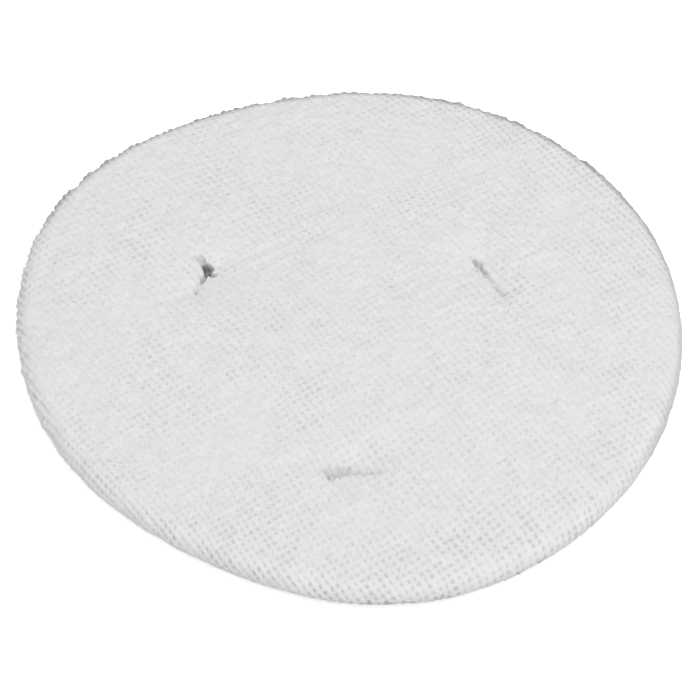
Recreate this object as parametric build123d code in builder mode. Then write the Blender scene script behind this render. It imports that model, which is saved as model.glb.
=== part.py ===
from build123d import *
import os
from math import cos, radians, sin

# Felt polishing wheel: a soft disc of pressed felt under a ply of wadding, in a loose
# woven cotton cover that is drawn over the rim and gathered underneath.  A cloth disc
# is sewn over the gathered hem to close the back, and three tack stitches pull the
# cover down through the wadding into the felt.
# Millimetres.  The origin is the centre of the back face, and +Z runs along the spin
# axis towards the polishing face.

# ---- driving dimensions ----
pad_diameter = 100.0        # over the cover
pad_thickness = 6.5         # back face to the middle of the polishing face
crown_rise = 1.0            # how far the middle of the face stands above its edge
rim_flat = 0.1              # straight side left between the two rounded edges
cover_thickness = 0.8       # woven cover with its nap
wadding_thickness = 1.2
squeezed_wadding = 0.4      # what is left of the wadding under a tack stitch
backing_thickness = 0.8
backing_inset = 4.0         # the backing's edge, in from the pad's rim
backing_edge = 0.3          # rounding of the backing's cut edge
hem_width = 12.0            # cover turned in under the pad, from the rim

tack_angles = {"right": 30.0, "left": 150.0, "front": 270.0}
tack_circle = 50.0          # diameter of the circle that the tack stitches lie on
tack_shift = -2.0           # how far that circle's middle lies off the pad's, along Y
tack_length = 6.0           # between a stitch's two legs
tack_thread = 0.9           # thread diameter
knot_diameter = 1.6
knot_length = 2.0
knot_rounding = 0.25
felt_over_knot = 0.35       # what is left of the felt between a stitch's knot and its dimple
dimple_width = 1.6          # floor of the dimple, across the stitch
dimple_slope = 45.0         # dimple wall, degrees from upright

gather_thread_size = 0.9    # thread diameter
seam_thread = 0.5           # thread diameter
seam_inset = 3.0            # seam line, in from the backing's edge
seam_stitch_count = 72
seam_stitch_length = 2.8

ply_clearance = 0.05        # between neighbouring plies, and round each thread
channel_clearance = 0.15    # each side of a thread that is sunk into the felt's back

# ---- sizes and heights that follow from them ----
pad_radius = pad_diameter / 2
tack_radius = tack_circle / 2
tack_half = tack_length / 2
tack_thread_radius = tack_thread / 2
tack_hole_radius = tack_thread_radius + ply_clearance
tack_bend = tack_thread_radius + ply_clearance
tack_channel_radius = tack_thread_radius + channel_clearance
gather_radius = gather_thread_size / 2
knot_radius = knot_diameter / 2
knot_pocket_width = knot_diameter + 2 * channel_clearance
knot_pocket_length = knot_length + 2 * channel_clearance
hem_inner_radius = pad_radius - hem_width
backing_radius = pad_radius - backing_inset
seam_radius = backing_radius - seam_inset
seam_thread_radius = seam_thread / 2
seam_stitch_rounding = 0.8 * seam_thread_radius
gather_ring_radius = hem_inner_radius - ply_clearance - knot_radius

hem_bottom = backing_thickness + ply_clearance
hem_top = hem_bottom + cover_thickness
felt_bottom = hem_top + ply_clearance
thread_level = backing_thickness + ply_clearance + knot_radius  # of the threads under the felt
wadding_top = pad_thickness - cover_thickness - ply_clearance
felt_top = wadding_top - wadding_thickness - ply_clearance

rim_radius = (pad_thickness - crown_rise - hem_bottom - rim_flat) / 2
ply_inset = cover_thickness + ply_clearance


def crown_drop(radius):
    """How far the face lies below its middle, at this radius."""
    return crown_rise * (radius / pad_radius) ** 2


# the plies that a stitch presses together, upwards from its knot
felt_floor = thread_level + knot_pocket_width / 2 + felt_over_knot
wadding_floor = felt_floor + ply_clearance + squeezed_wadding
dimple_floor = wadding_floor + ply_clearance + cover_thickness
tack_high = dimple_floor + ply_clearance + tack_thread_radius


# ---- shapes that several pieces share ----
def crowned_profile(radius, bottom, top):
    """Half section of a disc with a domed top."""
    with BuildSketch(Plane.XZ) as profile:
        with BuildLine():
            crown = ThreePointArc(
                (0, top),
                (radius / 2, top - crown_drop(radius / 2)),
                (radius, top - crown_drop(radius)),
            )
            Polyline(crown @ 1, (radius, bottom), (0, bottom), crown @ 0)
        make_face()
    return profile.sketch


def crowned_disc(radius, bottom, top, edge_radius):
    """Disc with a domed top and both its edges rounded."""
    with BuildPart() as disc:
        add(crowned_profile(radius, bottom, top))
        revolve(axis=Axis.Z)
        fillet(disc.edges().filter_by(GeomType.CIRCLE), radius=edge_radius)
    return disc.part


def dimples(floor):
    """The three hollows that the tack stitches pull, opening upwards from this floor."""
    with BuildPart() as hollows:
        with BuildSketch(Plane((0, tack_shift, floor))):
            with PolarLocations(tack_radius, len(tack_angles), start_angle=tack_angles["right"]):
                SlotOverall(tack_length + dimple_width, dimple_width, rotation=90)
        extrude(amount=pad_thickness - floor, taper=-dimple_slope)
    return hollows.part


def tack_holes(bottom, top):
    """The six round holes for the legs of the tack stitches."""
    with BuildPart() as holes:
        with BuildSketch(Plane((0, tack_shift, bottom))):
            with PolarLocations(tack_radius, len(tack_angles), start_angle=tack_angles["right"]):
                with Locations((0, -tack_half), (0, tack_half)):
                    Circle(tack_hole_radius)
        extrude(amount=top - bottom)
    return holes.part


def filling():
    """The room inside the cover, which wadding and felt fill together."""
    return crowned_disc(
        pad_radius - ply_inset, felt_bottom, wadding_top, rim_radius - ply_inset
    )


def felt_room(gap):
    """What the felt may fill: below the wadding, with the stitches' hollows in its top."""
    with BuildPart() as room:
        add(crowned_profile(pad_radius, 0, felt_top + gap))
        revolve(axis=Axis.Z)
        add(dimples(felt_floor + gap), mode=Mode.SUBTRACT)
    return room.part


def knot(place):
    """A knot, as a short barrel whose axis is the plane's normal."""
    with BuildPart(place) as barrel:
        Cylinder(knot_radius, knot_length)
        fillet(barrel.edges().filter_by(GeomType.CIRCLE), radius=knot_rounding)
    return barrel.part


# ---- cover: top, rim and turned-in hem of one cloth ----
with BuildPart() as cover_inside:
    add(
        crowned_disc(
            pad_radius - cover_thickness,
            hem_top,
            pad_thickness - cover_thickness,
            rim_radius - cover_thickness,
        )
    )
    add(dimples(dimple_floor - cover_thickness), mode=Mode.SUBTRACT)

with BuildPart() as face_cover:
    add(crowned_disc(pad_radius, hem_bottom, pad_thickness, rim_radius))
    add(dimples(dimple_floor), mode=Mode.SUBTRACT)
    add(cover_inside.part, mode=Mode.SUBTRACT)
    with BuildSketch(Plane.XY.offset(hem_bottom)):
        Circle(hem_inner_radius)
    extrude(amount=cover_thickness, mode=Mode.SUBTRACT)
    add(tack_holes(hem_top, pad_thickness), mode=Mode.SUBTRACT)
face_cover.part.label = "face_cover"

# ---- wadding: the soft ply between cover and felt, thin under each stitch ----
with BuildPart() as wadding:
    add(filling())
    add(dimples(wadding_floor), mode=Mode.SUBTRACT)
    add(felt_room(ply_clearance), mode=Mode.SUBTRACT)
    add(tack_holes(felt_bottom, pad_thickness), mode=Mode.SUBTRACT)
wadding.part.label = "wadding"

# ---- felt core: one disc of pressed felt, with the threads sunk into its back ----
with BuildPart() as felt_core:
    add(filling())
    add(felt_room(0), mode=Mode.INTERSECT)
    add(tack_holes(0, pad_thickness), mode=Mode.SUBTRACT)
    # channel for each stitch's back run
    with BuildSketch(Plane((0, tack_shift, 0))):
        with PolarLocations(tack_radius, len(tack_angles), start_angle=tack_angles["right"]):
            SlotOverall(
                tack_length + 2 * tack_channel_radius, 2 * tack_channel_radius, rotation=90
            )
    extrude(amount=thread_level + tack_channel_radius, mode=Mode.SUBTRACT)
    # pockets for the stitches' knots and for the gathering thread's
    with BuildSketch(Plane((0, tack_shift, 0))):
        with PolarLocations(tack_radius, len(tack_angles), start_angle=tack_angles["right"]):
            Rectangle(knot_pocket_width, knot_pocket_length)
    extrude(amount=thread_level + knot_pocket_width / 2, mode=Mode.SUBTRACT)
    with BuildSketch(Plane((gather_ring_radius, 0, 0))):
        Rectangle(knot_pocket_width, knot_pocket_length)
    extrude(amount=thread_level + knot_pocket_width / 2, mode=Mode.SUBTRACT)
    # channel for the gathering thread
    with BuildSketch():
        Circle(gather_ring_radius + gather_radius + channel_clearance)
        Circle(gather_ring_radius - gather_radius - channel_clearance, mode=Mode.SUBTRACT)
    extrude(amount=thread_level + gather_radius + channel_clearance, mode=Mode.SUBTRACT)
felt_core.part.label = "felt_core"

# ---- gathering thread: pulls the hem in under the pad, tied off with a knot ----
with BuildPart() as gather_thread:
    with BuildSketch(Plane.XZ):
        with Locations((gather_ring_radius, thread_level)):
            Circle(gather_radius)
    revolve(axis=Axis.Z)
    add(knot(Plane(origin=(gather_ring_radius, 0, thread_level), z_dir=(0, 1, 0))))
gather_thread.part.label = "gather_thread"

# ---- backing: the cloth disc that closes the back, and the face the pad is mounted by ----
with BuildPart() as backing:
    with BuildSketch():
        Circle(backing_radius)
    extrude(amount=backing_thickness)
    fillet(backing.edges().group_by(Axis.Z)[0], radius=backing_edge)
    # the groove that the seam pulls into the cloth
    with BuildSketch():
        Circle(seam_radius + seam_thread_radius + ply_clearance)
        Circle(seam_radius - seam_thread_radius - ply_clearance, mode=Mode.SUBTRACT)
    extrude(amount=seam_thread + 2 * ply_clearance, mode=Mode.SUBTRACT)
backing.part.label = "backing"

# ---- backing seam: a ring of stitches, each one only its run on the outside ----
with BuildPart() as backing_seam:
    with Locations((0, 0, ply_clearance + seam_thread_radius)):
        with PolarLocations(seam_radius, seam_stitch_count):
            Cylinder(seam_thread_radius, seam_stitch_length, rotation=(90, 0, 0))
    fillet(backing_seam.edges().filter_by(GeomType.CIRCLE), radius=seam_stitch_rounding)
backing_seam.part.label = "backing_seam"

# ---- tack stitches: a closed loop of thread through cover, wadding and felt ----
tack_stitches = []
for side, angle in tack_angles.items():
    outward = Vector(cos(radians(angle)), sin(radians(angle)), 0)
    along = Vector(-outward.Y, outward.X, 0)
    middle = outward * tack_radius + Vector(0, tack_shift, 0)
    with BuildLine(Plane(origin=middle, x_dir=along, z_dir=outward)) as loop:
        Polyline(
            (tack_half, thread_level),
            (tack_half, tack_high),
            (-tack_half, tack_high),
            (-tack_half, thread_level),
            close=True,
        )
        fillet(loop.vertices(), radius=tack_bend)
    with BuildPart() as tack_stitch:
        thread_path = loop.wire()
        with BuildSketch(Plane(origin=thread_path @ 0, z_dir=thread_path % 0)):
            Circle(tack_thread_radius)
        sweep(path=thread_path)
        knot_middle = middle + Vector(0, 0, thread_level)
        add(knot(Plane(origin=knot_middle, z_dir=along)))
    tack_stitch.part.label = "tack_stitch_" + side
    tack_stitches.append(tack_stitch.part)

# ---- one file for each piece ----
os.makedirs("parts", exist_ok=True)
export_step(face_cover.part, "parts/face_cover.step")
export_step(wadding.part, "parts/wadding.step")
export_step(felt_core.part, "parts/felt_core.step")
export_step(gather_thread.part, "parts/gather_thread.step")
export_step(backing.part, "parts/backing.step")
export_step(backing_seam.part, "parts/backing_seam.step")
for stitch in tack_stitches:
    export_step(stitch, f"parts/{stitch.label}.step")
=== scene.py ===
from math import cos, pi, radians, sin

import bpy
import numpy as np
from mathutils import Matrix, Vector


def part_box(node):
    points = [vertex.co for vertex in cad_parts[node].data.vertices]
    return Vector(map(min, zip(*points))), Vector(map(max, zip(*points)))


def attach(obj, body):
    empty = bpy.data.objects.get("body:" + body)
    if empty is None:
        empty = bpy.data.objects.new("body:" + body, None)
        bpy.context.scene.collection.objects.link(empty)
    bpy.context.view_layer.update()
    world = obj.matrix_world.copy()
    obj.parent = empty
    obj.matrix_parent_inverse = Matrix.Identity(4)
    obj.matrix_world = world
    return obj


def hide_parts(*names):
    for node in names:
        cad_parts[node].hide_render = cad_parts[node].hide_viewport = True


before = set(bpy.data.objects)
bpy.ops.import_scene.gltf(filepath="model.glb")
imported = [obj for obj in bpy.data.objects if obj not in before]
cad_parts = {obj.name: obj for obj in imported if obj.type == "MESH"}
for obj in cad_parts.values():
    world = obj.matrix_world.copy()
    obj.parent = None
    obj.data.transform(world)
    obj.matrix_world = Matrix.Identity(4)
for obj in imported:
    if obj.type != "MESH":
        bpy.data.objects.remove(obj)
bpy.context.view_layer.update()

# ---- face cover ----
# One loose plain-weave cotton cloth, napped, laid over the face, drawn round the rim and
# gathered underneath. Its yarns run slantwise across the pad, and three tack stitches
# pull it down into puckers.
MM = 0.001
cover_low, cover_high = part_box("face_cover")
pad_radius = 50 * MM
pad_top = cover_high[2]
hem_level = cover_low[2]
crown_rise = 1.0 * MM          # the middle of the face above its edge
rim_run = 2.4 * MM             # how far in from the outline the rim starts to turn over
hem_width = 12 * MM
gather_count = 46              # folds of the hem round the pad
yarn_pitch = 1.136 * MM
weave_turn = radians(34)       # the yarns' slant
near_stretch = 0.16            # the cloth is pulled longer towards -Y
yarn_top = 0.13 * MM           # how far the yarns stand out of the cloth's middle
cloth_depth = 0.75 * MM
tack_angles = {"right": 30, "left": 150, "front": 270}
tack_radius = 25 * MM
tack_shift = -2 * MM
tack_half = 3.0 * MM
# lobes of the slightly uneven outline: waves round the pad, height, direction of the top
outline_lobes = [
    (0, 0.15 * MM, 0), (2, 1.0 * MM, -85), (3, 1.1 * MM, 130), (5, 0.3 * MM, -10), (6, 0.16 * MM, 180)
]


def points_of(mesh):
    flat = np.empty(len(mesh.vertices) * 3)
    mesh.vertices.foreach_get("co", flat)
    return flat.reshape(-1, 3)


def set_points(mesh, points):
    mesh.vertices.foreach_set("co", np.asarray(points, dtype=float).ravel())
    mesh.update()


def normals_of(mesh):
    flat = np.empty(len(mesh.vertices) * 3)
    mesh.vertex_normals.foreach_get("vector", flat)
    return flat.reshape(-1, 3)


def edit_selected(piece, kind, chosen):
    """Opens a piece for editing with just these vertices, edges or polygons selected."""
    bpy.context.view_layer.objects.active = piece
    bpy.ops.object.mode_set(mode="EDIT")
    bpy.ops.mesh.select_mode(type={"vertices": "VERT", "edges": "EDGE", "polygons": "FACE"}[kind])
    bpy.ops.mesh.select_all(action="DESELECT")
    bpy.ops.object.mode_set(mode="OBJECT")
    getattr(piece.data, kind).foreach_set("select", np.asarray(chosen, dtype=bool))
    bpy.ops.object.mode_set(mode="EDIT")


def smooth_noise(x, y, size, seed):
    """Soft random field between -1 and 1 whose lumps are about this size."""
    table = np.random.default_rng(seed).uniform(-1, 1, (256, 256))
    px, py = np.asarray(x) / size + 1000, np.asarray(y) / size + 1000
    ix, iy = np.floor(px).astype(int), np.floor(py).astype(int)
    fx, fy = px - ix, py - iy
    fx, fy = fx * fx * (3 - 2 * fx), fy * fy * (3 - 2 * fy)
    a, b = table[ix % 256, iy % 256], table[(ix + 1) % 256, iy % 256]
    c, d = table[ix % 256, (iy + 1) % 256], table[(ix + 1) % 256, (iy + 1) % 256]
    return (a * (1 - fx) + b * fx) * (1 - fy) + (c * (1 - fx) + d * fx) * fy


def ease(value, start, end):
    t = np.clip((value - start) / (end - start), 0, 1)
    return t * t * (3 - 2 * t)


rim_start = pad_radius - rim_run
edge_top = pad_top - crown_rise * (rim_start / pad_radius) ** 2
rim_half_height = (edge_top - hem_level) / 2
rim_length = pi * (rim_run + rim_half_height) / 2
cut_radius = rim_start + rim_length + hem_width - rim_run
yarn_count = 2 * int(np.ceil(1.1 * cut_radius / yarn_pitch))


def lobe_height(angle):
    """How far the outline stands out from a true circle in this direction."""
    return sum(size * np.cos(n * angle - radians(top)) for n, size, top in outline_lobes)


def wrap(flat_x, flat_y):
    """Where a point of the flat cloth comes to lie on the pad."""
    x, y = flat_x, flat_y - near_stretch * flat_y**2 / (2 * pad_radius)
    reach, angle = np.hypot(x, y), np.arctan2(y, x)
    turn = np.clip((reach - rim_start) / rim_length, 0, 1) * pi
    under = np.maximum(reach - rim_start - rim_length, 0)
    radius = np.minimum(reach, rim_start) + rim_run * np.sin(turn) - under
    face = pad_top - crown_rise * (radius / pad_radius) ** 2
    rim = hem_level + rim_half_height * (1 + np.cos(turn))
    z = np.where(reach < rim_start, face, rim)
    radius = radius + lobe_height(angle) * (radius / pad_radius) ** 2
    # gathers of the turned-in hem
    slack = ease(reach, rim_start + 0.5 * rim_length, rim_start + rim_length + 3 * MM)
    gathers = np.sin(gather_count * angle + 2.5 * np.sin(5 * angle)) + 0.6 * np.sin(71 * angle + 1)
    z = z + 0.28 * MM * slack * gathers * np.clip(turn / pi, 0, 1)
    return np.stack([radius * np.cos(angle), radius * np.sin(angle), z], axis=-1), reach


bpy.ops.object.select_all(action="DESELECT")
bpy.ops.mesh.primitive_grid_add(
    x_subdivisions=yarn_count, y_subdivisions=yarn_count, size=yarn_count * yarn_pitch
)
cover = bpy.context.object
cover.name = "cover"
flat_cloth = points_of(cover.data)
flat_x = flat_cloth[:, 0] * cos(weave_turn) - flat_cloth[:, 1] * sin(weave_turn)
flat_y = flat_cloth[:, 0] * sin(weave_turn) + flat_cloth[:, 1] * cos(weave_turn)
wrapped, reach = wrap(flat_x, flat_y)
set_points(cover.data, wrapped)

# the cloth is cut round, a little beyond the hem
cut_off = reach > cut_radius
edit_selected(cover, "vertices", cut_off)
bpy.ops.mesh.delete(type="VERT")
bpy.ops.object.mode_set(mode="OBJECT")
kept = np.flatnonzero(~cut_off)

# the stitches draw the cloth down while the wadding pushes it up
SIM_SCALE = 20                 # the cloth is simulated at this many times its size
pull_depth = 0.8 * MM
held = cover.vertex_groups.new(name="held")
pulled = cover.vertex_groups.new(name="pulled")
start = points_of(cover.data)
tack_places = {}
for side, angle in tack_angles.items():
    out = np.array([cos(radians(angle)), sin(radians(angle))])
    tack_places[side] = (tack_radius * out + [0, tack_shift], np.array([-out[1], out[0]]), out)
tacked = np.zeros(len(start))
for middle, along, out in tack_places.values():
    away = start[:, :2] - middle
    on_line = (abs(away @ along) < tack_half + 0.3 * yarn_pitch) & (abs(away @ out) < 0.55 * yarn_pitch)
    tacked[on_line & (start[:, 2] > edge_top - rim_half_height)] = 1
under_rim = ease(reach[kept], rim_start + 0.35 * rim_length, rim_start + 0.6 * rim_length)
hold = np.maximum(0.3 + 0.7 * under_rim, tacked)
for index in range(len(start)):
    held.add([index], float(hold[index]), "REPLACE")
    if tacked[index]:
        pulled.add([index], 1.0, "REPLACE")
set_points(cover.data, start * SIM_SCALE)
pull = cover.modifiers.new("pull", "DISPLACE")
pull.direction = "Z"
pull.mid_level = 0
pull.vertex_group = "pulled"
pull.strength = 0
pull.keyframe_insert("strength", frame=1)
pull.strength = -pull_depth * SIM_SCALE
pull.keyframe_insert("strength", frame=14)
cloth = cover.modifiers.new("cloth", "CLOTH")
cloth.settings.quality = 4
cloth.settings.mass = 0.02
cloth.settings.tension_stiffness = 12
cloth.settings.compression_stiffness = 12
cloth.settings.shear_stiffness = 3
cloth.settings.bending_stiffness = 0.4
cloth.settings.effector_weights.gravity = 0
cloth.settings.use_pressure = True
cloth.settings.uniform_pressure_force = 0.25
cloth.settings.vertex_group_mass = "held"
cloth.settings.pin_stiffness = 1.0
for step in range(1, 26):
    bpy.context.scene.frame_set(step)
settled = cover.evaluated_get(bpy.context.evaluated_depsgraph_get())
pressed = points_of(settled.to_mesh()) / SIM_SCALE
settled.to_mesh_clear()
cover.modifiers.clear()
cover.animation_data_clear()
bpy.context.scene.frame_set(1)
move = pressed - start
cap = 1.5 * MM
move *= np.minimum(1, cap / np.maximum(np.linalg.norm(move, axis=1), 1e-9))[:, None]
set_points(cover.data, start + move)
cover.vertex_groups.clear()
settled_lattice = wrapped.copy()
settled_lattice[kept] = start + move
settled_lattice = settled_lattice.reshape(yarn_count + 1, yarn_count + 1, 3)

# an inner wall closes the cloth, then the side that shows is divided to take the yarns
outer_count = len(cover.data.polygons)
wall = cover.modifiers.new("wall", "SOLIDIFY")
wall.thickness = cloth_depth
wall.offset = -1
bpy.ops.object.modifier_apply(modifier="wall")
YARN_STEPS = 6
centres = np.empty(len(cover.data.polygons) * 3)
cover.data.polygons.foreach_get("center", centres)
centres = centres.reshape(-1, 3)
hidden_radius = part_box("backing")[1][0] - 2 * MM
centre_radius = np.hypot(centres[:, 0], centres[:, 1])
tucked_away = (centres[:, 2] < hem_level + 1 * MM) & (centre_radius < hidden_radius)
showing = (np.arange(len(centres)) < outer_count) & ~tucked_away
wall_points = len(cover.data.vertices)
edit_selected(cover, "polygons", showing)
bpy.ops.mesh.subdivide(number_cuts=YARN_STEPS - 1)
bpy.ops.object.mode_set(mode="OBJECT")


def vertex_uvs(mesh):
    """Each vertex's own place on the UV map, which has no seams across the outer side."""
    corner = np.empty(len(mesh.loops), dtype=int)
    mesh.loops.foreach_get("vertex_index", corner)
    flat = np.empty(len(mesh.loops) * 2)
    mesh.uv_layers[0].data.foreach_get("uv", flat)
    places = np.zeros((len(mesh.vertices), 2))
    places[corner] = flat.reshape(-1, 2)
    return places


def set_uvs(mesh, name, places):
    corner = np.empty(len(mesh.loops), dtype=int)
    mesh.loops.foreach_get("vertex_index", corner)
    mesh.uv_layers[0].name = name
    mesh.uv_layers[0].data.foreach_set("uv", places[corner].ravel())


def on_lattice(u, v):
    """The settled cloth at these yarn numbers, as a smooth surface through its points."""
    last = yarn_count - 2
    iu, iv = np.clip(np.floor(u).astype(int), 1, last), np.clip(np.floor(v).astype(int), 1, last)
    fu, fv = u - iu, v - iv

    def weights(f):
        return [
            -0.5 * f + f**2 - 0.5 * f**3,
            1 - 2.5 * f**2 + 1.5 * f**3,
            0.5 * f + 2 * f**2 - 1.5 * f**3,
            -0.5 * f**2 + 0.5 * f**3,
        ]

    wu, wv = weights(fu), weights(fv)
    total = 0
    for a in range(4):
        for b in range(4):
            share = (wu[a] * wv[b])[:, None]
            total = total + share * settled_lattice[iv + b - 1, iu + a - 1]
    return total


mesh = cover.data
points = points_of(mesh)
outside = np.zeros(len(points), dtype=bool)
outside[wall_points:] = True
outside[: len(kept)] = True
yarn_uv = vertex_uvs(mesh) * yarn_count
u, v = yarn_uv[outside, 0], yarn_uv[outside, 1]
points[outside] = on_lattice(u, v)
set_points(mesh, points)
facing = normals_of(mesh)[:, 2]


def weave_height(u, v, openness, floor):
    """Height of a plain weave at these yarn numbers, about 1 on a yarn and floor in a hole.

    The warp is pulled straighter than the weft and so lies a little higher.
    """
    iu, iv = np.round(u), np.round(v)
    du, dv = u - iu, v - iv
    warp_width = 0.44 - openness + 0.10 * smooth_noise(iu * 17.3, v * 0.5, 2.5, 15)
    weft_width = 0.42 - openness + 0.08 * smooth_noise(u, iv * 17.3, 2.5, 16)
    warp_sign, weft_sign = 1 - 2 * (iu % 2), 1 - 2 * (iv % 2)
    warp = 0.12 + 0.14 * smooth_noise(iu * 17.3, v * 0.3, 2.5, 17) + 0.12 * np.cos(pi * v) * warp_sign
    weft = -0.24 + 0.06 * smooth_noise(u * 0.3, iv * 17.3, 2.5, 18) - 0.28 * np.cos(pi * u) * weft_sign
    warp_side = np.clip(1 - (np.abs(du) / warp_width) ** 2, 0, 1)
    weft_side = np.clip(1 - (np.abs(dv) / weft_width) ** 2, 0, 1)
    warp = np.where(warp_side > 0, warp + 0.62 * warp_side**0.6, -1)
    weft = np.where(weft_side > 0, weft + 0.58 * weft_side**0.6, -1)
    return np.maximum(np.maximum(warp, weft), floor)


# the puckers that the stitches pull: each fold's two ends on the face in millimetres,
# its half width at each end, its depth, and how much painted shade darkens its bottom
puckers = [
    ((-22.2, 12.5), (-21.9, 11.4), 0.72, 0.70, 2.0, 0.93),
    ((-21.9, 11.3), (-20.8, 10.9), 0.50, 0.34, 0.8, 0.60),
    ((-22.1, 11.1), (-22.8, 9.5), 0.50, 0.38, 0.8, 0.42),
    ((-23.0, 14.0), (-22.3, 12.7), 0.65, 0.75, 0.6, 0.30),
    ((-22.9, 9.3), (-23.8, 7.6), 0.60, 0.45, 0.35, 0.15),
    ((-23.7, 7.3), (-23.6, 7.1), 0.42, 0.36, 0.25, 0.40),
    ((18.5, 13.7), (19.7, 11.9), 0.58, 0.62, 1.0, 0.36),
    ((19.6, 11.9), (21.1, 9.5), 0.52, 0.34, 0.6, 0.16),
    ((21.7, 8.7), (22.7, 7.0), 0.36, 0.44, 0.55, 0.22),
    ((22.8, 7.1), (23.2, 7.5), 0.34, 0.28, 0.15, 0.10),
    ((-3.3, -28.4), (-1.2, -28.0), 1.30, 1.20, 0.8, 0.26),
    ((-3.7, -29.1), (-3.5, -29.1), 0.42, 0.42, 0.9, 0.42),
    ((-1.2, -28.0), (3.6, -28.0), 1.15, 0.90, 0.35, 0.10),
    ((0.9, -27.9), (1.0, -27.9), 0.42, 0.42, 0.6, 0.28),
    ((2.6, -28.0), (2.7, -28.0), 0.42, 0.42, 0.6, 0.25),
]


def pucker_depth(x, y, spread=0.0):
    """How deep the stitches' folds are here, and how much painted shade darkens them. spread widens the
    folds.
    """
    place = np.stack([x, y], axis=-1)
    fold, fold_shade = np.zeros(len(place)), np.zeros(len(place))
    ragged = 1 + 0.45 * smooth_noise(x, y, 0.45 * MM, 33) + 0.2 * smooth_noise(x, y, 1.1 * MM, 34)
    for start, end, start_width, end_width, depth, bottom_shade in puckers:
        start, end = np.array(start) * MM, np.array(end) * MM
        line = end - start
        along = np.clip(((place - start) @ line) / (line @ line), 0, 1)
        off = np.hypot(*(place - start - along[:, None] * line).T)
        width = (start_width + (end_width - start_width) * along) * MM + spread
        shape = np.clip(1 - (off * ragged / width) ** 2, 0, 1) ** 1.2
        fold = np.maximum(fold, depth * MM * shape)
        # painted shade at the bottom of each fold, darkest along its middle
        fold_shade = np.maximum(fold_shade, bottom_shade * shape**0.6)
    return fold, fold_shade * (0.85 + 0.4 * smooth_noise(x, y, 0.3 * MM, 35))


outer = points[outside]
x, y = outer[:, 0], outer[:, 1]
on_face = ease(outer[:, 2], hem_level + rim_half_height, edge_top - 0.3 * MM)
radius = np.hypot(x, y)
# the yarns wander a little, one by one and in whole patches
u = u + 0.10 * smooth_noise(u * 0.8, v, 2.0, 11) + 1.0 * smooth_noise(u, v, 18, 12)
v = v + 0.10 * smooth_noise(u, v * 0.8, 2.0, 13) + 1.0 * smooth_noise(u, v, 18, 14)
# how far the holes of the weave are open: more near the rim and by the stitches
patches = 0.45 * smooth_noise(x, y, 8 * MM, 21) + 0.35 * smooth_noise(x, y, 3 * MM, 23)
patches += 0.55 * smooth_noise(x, y, 0.9 * MM, 24)
near_rim = ease(radius, 38 * MM, 48 * MM)
open_more = 0.7 * near_rim * ease(-y, 12 * MM, 34 * MM)
open_more += 0.5 * near_rim * ease(x, 0, 25 * MM) * ease(y, 5 * MM, 25 * MM)
for middle, along, out in tack_places.values():
    off = np.hypot(x - middle[0] - 0.7 * MM * (middle[0] > 1 * MM), y - middle[1] - 1.8 * MM)
    open_more = open_more + 0.45 * np.exp(-((off / (3.8 * MM)) ** 2))
openness = 0.08 + 0.07 * patches + 0.07 * open_more
relief = weave_height(u, v, openness, -np.clip(0.22 + 0.6 * patches + 0.7 * open_more, -0.15, 0.9))
# nap: soft tufts and fine fluff over the yarns
tufts = 1.4 * smooth_noise(x, y, 0.35 * MM, 25) + smooth_noise(x, y, 1.1 * MM, 26)
tufts += 2 * smooth_noise(x, y, 2.4 * MM, 27)
fluff = np.random.default_rng(5).normal(0, 1, len(relief))
turned = 1 - facing[outside]
far_side = ease(y - 0.5 * x, -5 * MM, 25 * MM)
# the yarns stand out more where the cloth turns over, and the far edge is scalloped
rim_gain = 1 + (0.3 + 1.9 * far_side) * ease(turned, 0.1, 0.3)
scallops = smooth_noise(x, y, 1.5 * MM, 28) + 0.5 * smooth_noise(x, y, 0.6 * MM, 29)
height = yarn_top * rim_gain * (relief - 0.6) + 0.035 * MM * tufts + 0.022 * MM * fluff
height += 0.22 * MM * scallops * far_side * ease(turned, 0.1, 0.3)
fold, fold_shade = pucker_depth(x, y)
height = height - 0.4 * fold * on_face
points[outside] = outer + normals_of(mesh)[outside] * height[:, None]
points[outside, 2] -= 0.6 * fold * on_face
inner_face = ~outside & (points[:, 2] > hem_level + rim_half_height)
inner_fold, _ = pucker_depth(points[:, 0], points[:, 1], 1.1 * MM)
points[inner_face, 2] -= inner_fold[inner_face] + 0.25 * MM * (inner_fold[inner_face] > 0)
set_points(mesh, points)


def add_values(mesh, name, values):
    mesh.attributes.new(name, "FLOAT", "POINT").data.foreach_set("value", values)


hole_depth, shade_and_soiling = np.zeros(len(points)), np.zeros(len(points))
# the weave's hole depth, which the cotton's material turns into painted shade
hole_depth[outside] = np.clip((0.5 - relief) / 1.5, 0, 1)
# painted shade along the far edge and low on the near side, where the rim turns away and under
outline = pad_radius + lobe_height(np.arctan2(y, x))
beyond = ease(y, 0, 40 * MM)
rim_shade = 0.10 + 0.38 * beyond + 0.08 * ease(x, 0, 40 * MM)
rim_shade *= ease(radius - outline, -(1.0 + 1.2 * beyond) * MM, -(0.1 + 0.4 * beyond) * MM)
rim_shade *= ease(y + 0.5 * x, -10 * MM, 4 * MM)
# blotches of painted shadow low on the near edge, where the rim turns under
shadow_blots = np.clip(2 * smooth_noise(x, y, 1.3 * MM, 36) - 0.2, 0, 1) * ease(x, -20 * MM, 5 * MM)
lower_edge = ease(turned, 0.95, 1.5) * ease(-turned, -1.9, -1.7)
rim_shade += (0.12 + 0.55 * shadow_blots) * lower_edge * ease(-y, -5 * MM, 15 * MM)
# the cover's darkening is painted shade, in the fold bottoms and round the rim
shade_and_soiling[outside] = np.maximum(fold_shade * on_face, rim_shade)
add_values(mesh, "hole_depth", hole_depth)
add_values(mesh, "shade_and_soiling", shade_and_soiling)
yarns = np.zeros((len(points), 2))
yarns[outside] = np.stack([u, v], axis=-1)
set_uvs(mesh, "yarns", yarns)


def shade_smooth(piece):
    bpy.ops.object.select_all(action="DESELECT")
    piece.select_set(True)
    bpy.context.view_layer.objects.active = piece
    bpy.ops.object.shade_smooth()


shade_smooth(cover)


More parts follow.
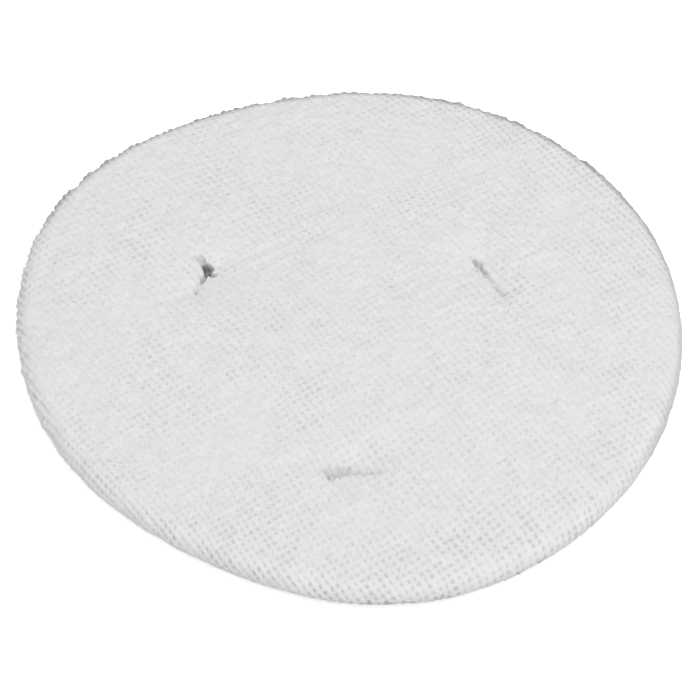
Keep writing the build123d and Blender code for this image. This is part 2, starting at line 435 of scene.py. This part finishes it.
def node(tree, kind, settings=None, links=None):
    """A shader node with these settings and socket values, fed by these sockets."""
    made = tree.nodes.new(kind)
    for key, value in (settings or {}).items():
        if isinstance(key, str) and hasattr(made, key):
            setattr(made, key, value)
        else:
            made.inputs[key].default_value = value
    for key, source in (links or {}).items():
        tree.links.new(source, made.inputs[key])
    return made


def new_group(name, inputs, outputs):
    """An empty shader node group: its tree, its way in and its way out."""
    tree = bpy.data.node_groups.new(name, "ShaderNodeTree")
    for label, kind, value in inputs:
        made = tree.interface.new_socket(label, in_out="INPUT", socket_type=kind)
        if value is not None:
            made.default_value = value
    for label, kind in outputs:
        tree.interface.new_socket(label, in_out="OUTPUT", socket_type=kind)
    return tree, tree.nodes.new("NodeGroupInput").outputs, tree.nodes.new("NodeGroupOutput").inputs


# cotton fluff: soft mottling of the colour, a fine grain of painted shade where the fibrous height is low,
# and that fibrous height
fluff_tree, given, result = new_group(
    "fluff",
    [
        ("Place", "NodeSocketVector", None),
        ("Colour", "NodeSocketColor", (0.8, 0.8, 0.8, 1)),
        ("Mottle", "NodeSocketFloat", 0.05),
        ("Painted Fibre Shade", "NodeSocketFloat", 0.12),
        ("Lump Scale", "NodeSocketFloat", 300),
        ("Fibre Scale", "NodeSocketFloat", 3000),
    ],
    [("Colour", "NodeSocketColor"), ("Height", "NodeSocketFloat")],
)
lumps = node(
    fluff_tree, "ShaderNodeTexNoise", {"Detail": 4.0},
    {"Vector": given["Place"], "Scale": given["Lump Scale"]},
)
fibres = node(
    fluff_tree, "ShaderNodeTexNoise", {"Detail": 6.0, "Distortion": 1.5},
    {"Vector": given["Place"], "Scale": given["Fibre Scale"]},
)
lump_shade = node(
    fluff_tree, "ShaderNodeMapRange", {"To Min": -1.0, "To Max": 1.0}, {"Value": lumps.outputs["Fac"]}
)
fibre_shade = node(
    fluff_tree, "ShaderNodeMapRange", {"To Min": -1.0, "To Max": 1.0}, {"Value": fibres.outputs["Fac"]}
)
soft_gain = node(
    fluff_tree, "ShaderNodeMath", {"operation": "MULTIPLY_ADD", 2: 1.0},
    {0: lump_shade.outputs[0], 1: given["Mottle"]},
)
# painted fibre shade: the same noise as the height darkens the colour where the fibres lie low
gain = node(
    fluff_tree, "ShaderNodeMath", {"operation": "MULTIPLY_ADD"},
    {0: fibre_shade.outputs[0], 1: given["Painted Fibre Shade"], 2: soft_gain.outputs[0]},
)
tint = node(
    fluff_tree, "ShaderNodeVectorMath", {"operation": "SCALE"},
    {0: given["Colour"], "Scale": gain.outputs[0]},
)
fluff_tree.links.new(tint.outputs[0], result["Colour"])
fluff_tree.links.new(fibres.outputs["Fac"], result["Height"])

# twist of the yarns: fine strands that slant across whichever yarn lies on top
twist_tree, given, result = new_group(
    "yarn_twist", [("Yarns", "NodeSocketVector", None)], [("Height", "NodeSocketFloat")]
)
parts = node(twist_tree, "ShaderNodeSeparateXYZ", {}, {0: given["Yarns"]})
round_u = node(twist_tree, "ShaderNodeMath", {"operation": "ROUND"}, {0: parts.outputs[0]})
round_v = node(twist_tree, "ShaderNodeMath", {"operation": "ROUND"}, {0: parts.outputs[1]})
both = node(
    twist_tree, "ShaderNodeMath", {"operation": "ADD"}, {0: round_u.outputs[0], 1: round_v.outputs[0]}
)
weft_up = node(twist_tree, "ShaderNodeMath", {"operation": "MODULO", 1: 2.0}, {0: both.outputs[0]})
swapped = node(twist_tree, "ShaderNodeCombineXYZ", {}, {0: parts.outputs[1], 1: parts.outputs[0]})
yarn_place = node(
    twist_tree, "ShaderNodeMix", {"data_type": "VECTOR"},
    {0: weft_up.outputs[0], 4: given["Yarns"], 5: swapped.outputs[0]},
)
slanted = node(
    twist_tree, "ShaderNodeMapping", {"Rotation": (0, 0, radians(24)), "Scale": (9.0, 1.6, 1.0)},
    {"Vector": yarn_place.outputs[1]},
)
strands = node(
    twist_tree, "ShaderNodeTexNoise", {"Scale": 1.0, "Detail": 3.0}, {"Vector": slanted.outputs[0]}
)
twist_tree.links.new(strands.outputs["Fac"], result["Height"])

# shade and soiling: how much darker a place is, by painted shade in the cover's folds and round its rim, by
# dirt along the backing's edge, and at rare specks of grit
shade_and_soil_tree, given, result = new_group(
    "shade_and_soiling",
    [
        ("Colour", "NodeSocketColor", (0.8, 0.8, 0.8, 1)),
        ("Place", "NodeSocketVector", None),
        ("Amount", "NodeSocketFloat", 0.0),
        ("Specks", "NodeSocketFloat", 0.0),
    ],
    [("Colour", "NodeSocketColor")],
)
cloud = node(shade_and_soil_tree, "ShaderNodeTexNoise", {"Scale": 1500.0, "Detail": 3.0}, {"Vector": given["Place"]})
cloudy = node(
    shade_and_soil_tree, "ShaderNodeMapRange", {"From Min": 0.3, "From Max": 0.7, "To Min": 0.85, "To Max": 1.1},
    {"Value": cloud.outputs["Fac"]},
)
shade_and_dirt_amount = node(
    shade_and_soil_tree, "ShaderNodeMath", {"operation": "MULTIPLY", "use_clamp": True},
    {0: given["Amount"], 1: cloudy.outputs[0]},
)
grit = node(
    shade_and_soil_tree, "ShaderNodeTexVoronoi", {"voronoi_dimensions": "2D", "Scale": 130.0},
    {"Vector": given["Place"]},
)
drawn = node(shade_and_soil_tree, "ShaderNodeSeparateColor", {}, {0: grit.outputs["Color"]})
rare = node(shade_and_soil_tree, "ShaderNodeMath", {"operation": "GREATER_THAN", 1: 0.97}, {0: drawn.outputs[0]})
close = node(shade_and_soil_tree, "ShaderNodeMath", {"operation": "LESS_THAN", 1: 0.014}, {0: grit.outputs["Distance"]})
speck = node(
    shade_and_soil_tree, "ShaderNodeMath", {"operation": "MULTIPLY"}, {0: rare.outputs[0], 1: close.outputs[0]}
)
spotted = node(
    shade_and_soil_tree, "ShaderNodeMath", {"operation": "MULTIPLY"}, {0: speck.outputs[0], 1: given["Specks"]}
)
shade_and_dirt = node(
    shade_and_soil_tree, "ShaderNodeMath", {"operation": "MAXIMUM"}, {0: shade_and_dirt_amount.outputs[0], 1: spotted.outputs[0]}
)
darkened = node(
    shade_and_soil_tree, "ShaderNodeMix", {"data_type": "RGBA", 7: (0.035, 0.034, 0.032, 1)},
    {0: shade_and_dirt.outputs[0], 6: given["Colour"]},
)
shade_and_soil_tree.links.new(darkened.outputs[2], result["Colour"])


def cloth_material(name, colour, mottle, lump_scale, fibre_scale, rough, hole_shade=0.0, twist=0.0, specks=0.0):
    """Matt cotton or wool. The weave's holes can be darkened with painted shade, and twist shows the strands.
    """
    material = bpy.data.materials.new(name)
    material.use_nodes = True
    tree = material.node_tree
    shader = tree.nodes["Principled BSDF"]
    shader.inputs["Specular IOR Level"].default_value = 0.1
    shader.inputs["Sheen Weight"].default_value = 0.12
    shader.inputs["Sheen Roughness"].default_value = 0.6
    place = node(tree, "ShaderNodeTexCoord")
    fluff = node(
        tree, "ShaderNodeGroup",
        {
            "node_tree": fluff_tree, "Colour": (*colour, 1), "Mottle": mottle,
            "Lump Scale": lump_scale, "Fibre Scale": fibre_scale,
        },
        {"Place": place.outputs["Object"]},
    )
    tone, height = fluff.outputs["Colour"], fluff.outputs["Height"]
    # painted shade in the weave's holes: the deeper the hole, the darker
    if hole_shade:
        depth = node(tree, "ShaderNodeAttribute", {"attribute_name": "hole_depth"})
        shade = node(
            tree, "ShaderNodeMapRange", {"From Min": 0.1, "To Min": 1.0, "To Max": 1 - hole_shade},
            {"Value": depth.outputs["Fac"]},
        )
        tone = node(
            tree, "ShaderNodeVectorMath", {"operation": "SCALE"}, {0: tone, "Scale": shade.outputs[0]}
        ).outputs[0]
    # darker where the attribute holds painted shade (cover folds and rim) or dirt (backing edge), and at
    # specks of grit
    if hole_shade or specks:
        amount = node(tree, "ShaderNodeAttribute", {"attribute_name": "shade_and_soiling"})
        tone = node(
            tree, "ShaderNodeGroup", {"node_tree": shade_and_soil_tree, "Specks": specks},
            {"Colour": tone, "Place": place.outputs["Object"], "Amount": amount.outputs["Fac"]},
        ).outputs[0]
    if twist:
        strands = node(tree, "ShaderNodeGroup", {"node_tree": twist_tree}, {0: place.outputs["UV"]})
        height = node(
            tree, "ShaderNodeMath", {"operation": "MULTIPLY_ADD", 1: twist},
            {0: strands.outputs[0], 2: height},
        ).outputs[0]
    matt = node(
        tree, "ShaderNodeMapRange", {"To Min": 0.85, "To Max": 1.0}, {"Value": fluff.outputs["Height"]}
    )
    bump = node(tree, "ShaderNodeBump", {"Strength": rough, "Distance": 0.0001}, {"Height": height})
    tree.links.new(tone, shader.inputs["Base Color"])
    tree.links.new(matt.outputs[0], shader.inputs["Roughness"])
    tree.links.new(bump.outputs["Normal"], shader.inputs["Normal"])
    return material


def dress(piece, material):
    """Gives a piece its finish and its place on the pad's one body."""
    piece.data.materials.clear()
    piece.data.materials.append(material)
    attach(piece, "root")


cover_cotton = cloth_material(
    "cover_cotton", (0.624, 0.624, 0.617), 0.05, 260, 5200, 0.7, hole_shade=0.20, twist=1.2, specks=0.7
)
dress(cover, cover_cotton)
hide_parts("face_cover")

# ---- cover nap ----
# The cloth's raised fibres: thousands of fine curved hairs that stand up between the
# yarns, longer and looser round the rim.
fibre_count = 9500
fibre_rings = 3


def scattered(name, count, length, radius, bases, ups, aims, curls):
    """Copies of one tapered fibre, rooted here, growing this way and curling that way."""
    bpy.ops.object.select_all(action="DESELECT")
    bpy.ops.mesh.primitive_cone_add(vertices=3, radius1=1, radius2=0.3, depth=1, end_fill_type="NGON")
    fibre = bpy.context.object
    fibre.name = name
    ends = points_of(fibre.data)[:, 2]
    upright = [ends[edge.vertices[0]] * ends[edge.vertices[1]] < 0 for edge in fibre.data.edges]
    edit_selected(fibre, "edges", upright)
    bpy.ops.mesh.subdivide(number_cuts=fibre_rings - 1)
    bpy.ops.object.mode_set(mode="OBJECT")
    each = len(fibre.data.vertices)
    array = fibre.modifiers.new("copies", "ARRAY")
    array.count = count
    array.use_relative_offset = False
    array.use_constant_offset = True
    array.constant_offset_displace = (3, 0, 0)
    bpy.ops.object.modifier_apply(modifier="copies")
    local = points_of(fibre.data)[:each]
    rise = local[:, 2] + 0.5
    across = np.cross(ups, aims)
    across /= np.linalg.norm(across, axis=1)[:, None]
    side = np.cross(across, ups)
    bend = curls[:, None] * rise**2
    middle = bases[:, None] + length[:, None, None] * (
        ups[:, None] * (rise - 0.3 * bend * rise)[..., None] + side[:, None] * bend[..., None]
    )
    thick = radius[:, None, None] * (
        across[:, None] * local[None, :, 0, None] + side[:, None] * local[None, :, 1, None]
    )
    set_points(fibre.data, (middle + thick).reshape(-1, 3))
    return fibre


chance = np.random.default_rng(41)
grown = normals_of(mesh)
can_grow = outside & (points[:, 2] > hem_level + 0.6 * MM) & (shade_and_soiling < 0.5)
weight = can_grow * (1 + 2.2 * np.clip(1 - facing, 0, 1))
roots = chance.choice(len(points), fibre_count, p=weight / weight.sum())
rimward = np.clip(1 - facing[roots], 0, 1)
directions = grown[roots] + chance.normal(0, 0.55, (fibre_count, 3))
directions /= np.linalg.norm(directions, axis=1)[:, None]
nap = scattered(
    "cover_nap",
    fibre_count,
    chance.uniform(0.25, 0.75, fibre_count) * MM * (1 + 0.5 * rimward),
    chance.uniform(0.010, 0.018, fibre_count) * MM,
    points[roots] - directions * 0.05 * MM,
    directions,
    directions + chance.normal(0, 1, (fibre_count, 3)),
    chance.uniform(-0.8, 0.8, fibre_count),
)
shade_smooth(nap)
dress(nap, cloth_material("cotton_nap", (0.70, 0.70, 0.69), 0.05, 900, 9000, 0.2))

# ---- wadding ----
# A ply of loose cotton wadding under the cover, a little lumpy, laid over the felt and
# half way down its side, and pressed thin under each stitch.
PLY_GAP = 0.05 * MM
wadding_depth = 1.15 * MM


def ply_inside(name, inset, reach_limit, cell):
    """A ply inside the cover, which follows the settled cloth at this depth."""
    cells = 2 * int(np.ceil(1.1 * reach_limit / cell))
    bpy.ops.object.select_all(action="DESELECT")
    bpy.ops.mesh.primitive_grid_add(x_subdivisions=cells, y_subdivisions=cells, size=cells * cell)
    ply = bpy.context.object
    ply.name = name
    flat = points_of(ply.data)[:, :2]
    yarn_numbers = flat / yarn_pitch + yarn_count / 2
    set_points(ply.data, on_lattice(yarn_numbers[:, 0], yarn_numbers[:, 1]))
    set_points(ply.data, points_of(ply.data) - normals_of(ply.data) * inset)
    turned_x = flat[:, 0] * cos(weave_turn) - flat[:, 1] * sin(weave_turn)
    turned_y = flat[:, 0] * sin(weave_turn) + flat[:, 1] * cos(weave_turn)
    edit_selected(ply, "vertices", wrap(turned_x, turned_y)[1] > reach_limit)
    bpy.ops.mesh.delete(type="VERT")
    bpy.ops.object.mode_set(mode="OBJECT")
    return ply


def sink(piece, chosen, share, limit):
    """Lowers the chosen points where the stitches pull, by this share up to a limit."""
    places = points_of(piece.data)
    fold, _ = pucker_depth(places[:, 0], places[:, 1], 1.8 * MM)
    places[:, 2] -= chosen * np.minimum(fold * share, limit)
    set_points(piece.data, places)


wadding = ply_inside("wadding_ply", cloth_depth + PLY_GAP, rim_start + 0.45 * rim_length, 1.6 * MM)
upper_count = len(wadding.data.vertices)
thick = wadding.modifiers.new("thick", "SOLIDIFY")
thick.thickness = wadding_depth
thick.offset = -1
bpy.ops.object.modifier_apply(modifier="thick")
is_upper = np.arange(len(wadding.data.vertices)) < upper_count
sink(wadding, is_upper, 1.0, 2.3 * MM)
sink(wadding, ~is_upper, 0.6, 1.3 * MM)
finer = wadding.modifiers.new("finer", "SUBSURF")
finer.levels = finer.render_levels = 1
bpy.ops.object.modifier_apply(modifier="finer")
lumpy = points_of(wadding.data)
lump = smooth_noise(lumpy[:, 0] + lumpy[:, 2], lumpy[:, 1], 2.5 * MM, 31) - 1
set_points(wadding.data, lumpy + normals_of(wadding.data) * (0.06 * MM * lump)[:, None])
shade_smooth(wadding)
dress(wadding, cloth_material("loose_wadding", (0.80, 0.80, 0.79), 0.12, 420, 3800, 0.8))
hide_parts("wadding")

# ---- felt core ----
# One disc of pressed wool felt, which fills the pad and gives it its body. Its back is
# flat, and its side is as uneven as the cover drawn over it.
felt_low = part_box("felt_core")[0][2]
felt = ply_inside(
    "felt_disc", cloth_depth + wadding_depth + 2 * PLY_GAP, rim_start + 0.5 * rim_length, 1.6 * MM
)
sink(felt, 1.0, 0.6, 1.3 * MM)
bpy.context.view_layer.objects.active = felt
bpy.ops.object.mode_set(mode="EDIT")
bpy.ops.mesh.select_mode(type="EDGE")
bpy.ops.mesh.select_all(action="DESELECT")
bpy.ops.mesh.select_non_manifold()
bpy.ops.mesh.extrude_region_move()
bpy.ops.object.mode_set(mode="OBJECT")
bottom = np.array([vertex.select for vertex in felt.data.vertices])
side = points_of(felt.data)
side[bottom, 2] = felt_low
set_points(felt.data, side)
bpy.ops.object.mode_set(mode="EDIT")
bpy.ops.mesh.edge_face_add()
bpy.ops.object.mode_set(mode="OBJECT")
shade_smooth(felt)
dress(felt, cloth_material("pressed_felt", (0.72, 0.72, 0.70), 0.10, 500, 6000, 0.9))
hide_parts("felt_core")

# ---- tack stitches ----
# Three loops of twisted cotton thread through cover, wadding and felt. Each loop's top
# lies buried in its pucker, and it is tied off with a knot under the felt.
thread_cotton = cloth_material("twisted_thread", (0.78, 0.77, 0.75), 0.08, 1500, 9000, 0.7)
# dark grey thread for the left stitch, standing in as painted shade in the deep pit of its pucker
dark_shadow_thread = cloth_material("shadow_grey_thread", (0.20, 0.195, 0.19), 0.15, 1500, 9000, 0.7)
tack_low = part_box("tack_stitch_front")[0][2] + 0.8 * MM
tack_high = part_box("tack_stitch_front")[1][2] - 0.9 * MM


def plied_thread(name, path, radius, sides=12, turns_per_mm=0.45, closed=False):
    """A twisted three-ply thread whose middle follows these points."""
    rings = len(path)
    bpy.ops.object.select_all(action="DESELECT")
    bpy.ops.mesh.primitive_cylinder_add(vertices=sides, radius=1, depth=1, end_fill_type="NGON")
    thread = bpy.context.object
    thread.name = name
    ends = points_of(thread.data)[:, 2]
    upright = [ends[edge.vertices[0]] * ends[edge.vertices[1]] < 0 for edge in thread.data.edges]
    edit_selected(thread, "edges", upright)
    bpy.ops.mesh.subdivide(number_cuts=rings - 2)
    bpy.ops.object.mode_set(mode="OBJECT")
    local = points_of(thread.data)
    ring = np.round((local[:, 2] + 0.5) * (rings - 1)).astype(int)
    heading = np.gradient(path, axis=0)
    if closed:
        heading[0] = heading[-1] = path[1] - path[-2]
    heading /= np.linalg.norm(heading, axis=1)[:, None]
    sideways = np.cross(heading[0], [0.3, 0.5, 0.8])
    frames = []
    for way in heading:
        sideways = sideways - way * (sideways @ way)
        sideways = sideways / np.linalg.norm(sideways)
        frames.append((sideways, np.cross(way, sideways)))
    frames = np.array(frames)
    run = np.concatenate([[0], np.cumsum(np.linalg.norm(np.diff(path, axis=0), axis=1))])
    around = np.arctan2(local[:, 1], local[:, 0])
    turn = around + 2 * pi * turns_per_mm * run[ring] / MM
    lobe = radius * (0.86 + 0.14 * np.abs(np.cos(1.5 * turn)))
    offset = np.cos(around)[:, None] * frames[ring, 0] + np.sin(around)[:, None] * frames[ring, 1]
    set_points(thread.data, path[ring] + offset * lobe[:, None])
    shade_smooth(thread)
    return thread


def rounded_loop(corners, count, rounding):
    """Points along a closed loop through these corners, with the corners rounded off."""
    corners = np.vstack([corners, corners[:1]])
    run = np.concatenate([[0], np.cumsum(np.linalg.norm(np.diff(corners, axis=0), axis=1))])
    along = np.linspace(0, run[-1], count, endpoint=False)
    loop = np.stack([np.interp(along, run, corners[:, axis]) for axis in range(3)], axis=-1)
    reach = int(np.ceil(rounding / run[-1] * count))
    return sum(np.roll(loop, shift, axis=0) for shift in range(-reach, reach + 1)) / (2 * reach + 1)


def tight_knot(name, middle, size, radius):
    """An overhand knot drawn tight."""
    t = np.linspace(0, 2 * pi, 61)
    path = np.stack(
        [np.sin(t) + 2 * np.sin(2 * t), np.cos(t) - 2 * np.cos(2 * t), -1.2 * np.sin(3 * t)], axis=-1
    )
    return plied_thread(name, np.array(middle) + path * size / 3, radius, sides=8, closed=True)


# the buried run of each loop: its two ends on the face, in millimetres
tack_runs = {
    "left": ((-23.0, 8.4), (-21.9, 12.6)),
    "right": ((22.6, 7.3), (18.9, 13.1)),
    "front": ((-3.2, -28.3), (3.2, -28.2)),
}
for side, (first, second) in tack_runs.items():
    first, second = np.array(first) * MM, np.array(second) * MM
    corners = np.array([
        [*(0.55 * first + 0.45 * second), tack_low],
        [*first, tack_low],
        [*first, tack_high],
        [*second, tack_high],
        [*second, tack_low],
    ])
    loop = rounded_loop(corners, 150, 0.6 * MM)
    loop = np.vstack([loop, loop[:1]])
    stitch = plied_thread("stitch_" + side, loop, 0.40 * MM, closed=True)
    # the left stitch gets the dark thread as painted shade in its pit
    dress(stitch, dark_shadow_thread if side == "left" else thread_cotton)
    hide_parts("tack_stitch_" + side)
    knot_place = [*(first + second) / 2, tack_low + 0.1 * MM]
    knot = tight_knot("stitch_knot_" + side, knot_place, 0.5 * MM, 0.30 * MM)
    dress(knot, thread_cotton)

# ---- gathering thread ----
# A running thread along the turned-in edge of the cover, drawn tight and knotted, which
# holds the gathers under the pad.
gather_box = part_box("gather_thread")
gather_radius = -gather_box[0][0] - 0.45 * MM
gather_level = (gather_box[0][2] + gather_box[1][2]) / 2
around = np.linspace(0, 2 * pi, 500)
gather_path = np.stack(
    [
        (gather_radius + 0.25 * MM * np.sin(gather_count * around)) * np.cos(around),
        (gather_radius + 0.25 * MM * np.sin(gather_count * around)) * np.sin(around),
        gather_level + 0.15 * MM * np.sin(gather_count * around + 1.5),
    ],
    axis=-1,
)
gather = plied_thread("gathering_thread", gather_path, 0.42 * MM, sides=9, closed=True)
dress(gather, thread_cotton)
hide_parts("gather_thread")
gather_knot = tight_knot("gathering_knot", gather_path[0], 0.5 * MM, 0.32 * MM)
dress(gather_knot, thread_cotton)

# ---- backing ----
# A disc of close cotton canvas sewn over the gathered hem. It closes the back, its cut
# edge is a little frayed, and the ring of stitches pulls a groove into it.
backing_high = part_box("backing")[1]
backing_radius = backing_high[0]
backing_top = backing_high[2]
canvas_pitch = 1.15 * MM
canvas_relief = 0.16 * MM
seam_radius = backing_radius - 3.0 * MM
canvas_steps = 4
canvas_yarns = 2 * int(np.ceil(backing_radius / canvas_pitch)) + 2
bpy.ops.object.select_all(action="DESELECT")
bpy.ops.mesh.primitive_grid_add(
    x_subdivisions=canvas_yarns * canvas_steps,
    y_subdivisions=canvas_yarns * canvas_steps,
    size=canvas_yarns * canvas_pitch,
)
backing = bpy.context.object
backing.name = "backing_disc"
flat = points_of(backing.data)
edit_selected(backing, "vertices", np.hypot(flat[:, 0], flat[:, 1]) > backing_radius)
bpy.ops.mesh.delete(type="VERT")
bpy.ops.mesh.select_all(action="DESELECT")
bpy.ops.mesh.select_non_manifold()
bpy.ops.object.mode_set(mode="OBJECT")
flat = points_of(backing.data)
rim_points = np.array([vertex.select for vertex in backing.data.vertices])
radius = np.hypot(flat[:, 0], flat[:, 1])
fray = backing_radius + 0.18 * MM * smooth_noise(flat[:, 0], flat[:, 1], 0.5 * MM, 51)
flat[rim_points] *= (fray / radius)[rim_points, None]
u, v = flat[:, 0] / canvas_pitch, flat[:, 1] / canvas_pitch
wander_u = u + 0.08 * smooth_noise(u, v, 2.0, 52) + 0.6 * smooth_noise(u, v, 20, 53)
wander_v = v + 0.08 * smooth_noise(u, v, 2.0, 54) + 0.6 * smooth_noise(u, v, 20, 55)
woven = weave_height(wander_u + 200, wander_v + 200, -0.04, -0.5)
groove = np.exp(-(((np.hypot(flat[:, 0], flat[:, 1]) - seam_radius) / (0.7 * MM)) ** 2))
flat[:, 2] = canvas_relief * (1 - woven) / 2 + 0.35 * MM * groove
set_points(backing.data, flat)
bpy.ops.object.mode_set(mode="EDIT")
bpy.ops.mesh.select_all(action="SELECT")
bpy.ops.mesh.flip_normals()
bpy.ops.mesh.select_all(action="DESELECT")
bpy.ops.mesh.select_non_manifold()
bpy.ops.mesh.extrude_region_move()
bpy.ops.object.mode_set(mode="OBJECT")
top_edge = np.array([vertex.select for vertex in backing.data.vertices])
raised = points_of(backing.data)
raised[top_edge, 2] = backing_top - 0.06 * MM
set_points(backing.data, raised)
bpy.ops.object.mode_set(mode="EDIT")
bpy.ops.mesh.edge_face_add()
bpy.ops.object.mode_set(mode="OBJECT")
# the canvas's hole depth, which its material turns into painted shade
hollows = np.zeros(len(raised))
hollows[: len(woven)] = np.clip((0.5 - woven) / 1.5, 0, 1)
add_values(backing.data, "hole_depth", hollows)
edge_soil = np.zeros(len(raised))
edge_soil[: len(woven)] = 0.12 * ease(radius, 30 * MM, 46 * MM)
add_values(backing.data, "shade_and_soiling", edge_soil)
canvas_uv = np.zeros((len(raised), 2))
canvas_uv[: len(woven)] = np.stack([wander_u, wander_v], axis=-1) + 200
set_uvs(backing.data, "yarns", canvas_uv)
shade_smooth(backing)
canvas = cloth_material(
    "backing_canvas", (0.68, 0.66, 0.61), 0.07, 300, 4200, 0.6, hole_shade=0.3, twist=1.5, specks=0.7
)
dress(backing, canvas)
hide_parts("backing")

# ---- backing seam ----
# A ring of running stitches in cotton thread, which sews the backing to the hem. Each
# stitch is one short twisted run that dips into the canvas at both ends.
seam_count = 72
seam_length = 2.8 * MM
run = np.linspace(-0.5, 0.5, 9)
one_stitch = np.stack([0 * run, run * seam_length, 0.33 * MM + 1.6 * MM * run**4 * 4], axis=-1)
seam = plied_thread("seam_stitches", one_stitch, 0.25 * MM, sides=6)
each = len(seam.data.vertices)
copies = seam.modifiers.new("copies", "ARRAY")
copies.count = seam_count
copies.use_relative_offset = False
copies.use_constant_offset = True
copies.constant_offset_displace = (5 * MM, 0, 0)
bpy.ops.object.select_all(action="DESELECT")
bpy.context.view_layer.objects.active = seam
bpy.ops.object.modifier_apply(modifier="copies")
shape = points_of(seam.data)[:each]
chance = np.random.default_rng(61)
placed = []
for number in range(seam_count):
    slant, angle = chance.normal(0, 0.03), 2 * pi * (number + chance.normal(0, 0.04)) / seam_count
    x = seam_radius + shape[:, 0] + slant * shape[:, 1] - (shape[:, 1] ** 2) / (2 * seam_radius)
    y, z = shape[:, 1], shape[:, 2]
    placed.append(np.stack([x * cos(angle) - y * sin(angle), x * sin(angle) + y * cos(angle), z], axis=-1))
set_points(seam.data, np.concatenate(placed))
shade_smooth(seam)
dress(seam, thread_cotton)
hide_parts("backing_seam")

# ---- stage ----
# A pale plain table top that looks evenly white, one large soft lamp above the pad, and
# light from all round that is weaker near the horizon and behind.
bpy.ops.object.select_all(action="DESELECT")
bpy.ops.mesh.primitive_plane_add(size=3)
floor = bpy.context.object
floor.name = "floor"
paper = bpy.data.materials.new("paper")
paper.use_nodes = True
tree = paper.node_tree
seen = node(tree, "ShaderNodeLightPath")
paper_place = node(tree, "ShaderNodeTexCoord")
grain = node(tree, "ShaderNodeTexNoise", {"Scale": 900.0}, {"Vector": paper_place.outputs["Object"]})
paper_bump = node(
    tree, "ShaderNodeBump", {"Strength": 0.02, "Distance": 0.0001}, {"Height": grain.outputs["Fac"]}
)
glow = node(tree, "ShaderNodeMapRange", {"To Max": 0.5}, {"Value": seen.outputs["Is Camera Ray"]})
tree.nodes["Principled BSDF"].inputs["Base Color"].default_value = (0.95, 0.95, 0.95, 1)
tree.nodes["Principled BSDF"].inputs["Emission Color"].default_value = (1, 1, 1, 1)
tree.links.new(glow.outputs[0], tree.nodes["Principled BSDF"].inputs["Emission Strength"])
tree.links.new(paper_bump.outputs["Normal"], tree.nodes["Principled BSDF"].inputs["Normal"])
tree.nodes["Principled BSDF"].inputs["Roughness"].default_value = 1
floor.data.materials.append(paper)

scene = bpy.context.scene
scene.view_settings.view_transform = "Standard"
world = bpy.data.worlds.new("studio")
world.use_nodes = True
sky = world.node_tree
direction = node(sky, "ShaderNodeSeparateXYZ", {}, {0: node(sky, "ShaderNodeTexCoord").outputs["Generated"]})
front = node(sky, "ShaderNodeMath", {"operation": "MULTIPLY", 1: -0.6}, {0: direction.outputs[1]})
height = node(
    sky, "ShaderNodeMath", {"operation": "MULTIPLY_ADD", 1: 0.8},
    {0: direction.outputs[2], 2: front.outputs[0]},
)
overhead = node(
    sky, "ShaderNodeMapRange", {"From Min": -0.5, "From Max": 0.9, "To Min": 0.1, "To Max": 1.15},
    {"Value": height.outputs[0]},
)
sky.links.new(overhead.outputs[0], sky.nodes["Background"].inputs["Strength"])
sky.nodes["Background"].inputs["Color"].default_value = (1, 1, 1, 1)
scene.world = world
lamp_data = bpy.data.lights.new("softbox", "AREA")
lamp_data.shape = "DISK"
lamp_data.size = 1.0
lamp_data.energy = 6
lamp = bpy.data.objects.new("softbox", lamp_data)
lamp.location = (0.28, -0.1, 1.0)
lamp.rotation_euler = (radians(6), radians(16), 0)
scene.collection.objects.link(lamp)

view_tilt = radians(49)
view_distance = 2.0
view_width = 105.45 * MM
aim_left, aim_down = 0.39 * MM, 1.445 * MM
aim = np.array([-aim_left, -aim_down * sin(view_tilt), 3.1 * MM - aim_down * cos(view_tilt)])
camera_data = bpy.data.cameras.new("camera")
camera_data.sensor_width = 36
camera_data.lens = 36 * view_distance / view_width
camera = bpy.data.objects.new("camera", camera_data)
camera.location = aim + view_distance * np.array([0, -cos(view_tilt), sin(view_tilt)])
camera.rotation_euler = (pi / 2 - view_tilt, 0, 0)
scene.collection.objects.link(camera)
scene.camera = camera
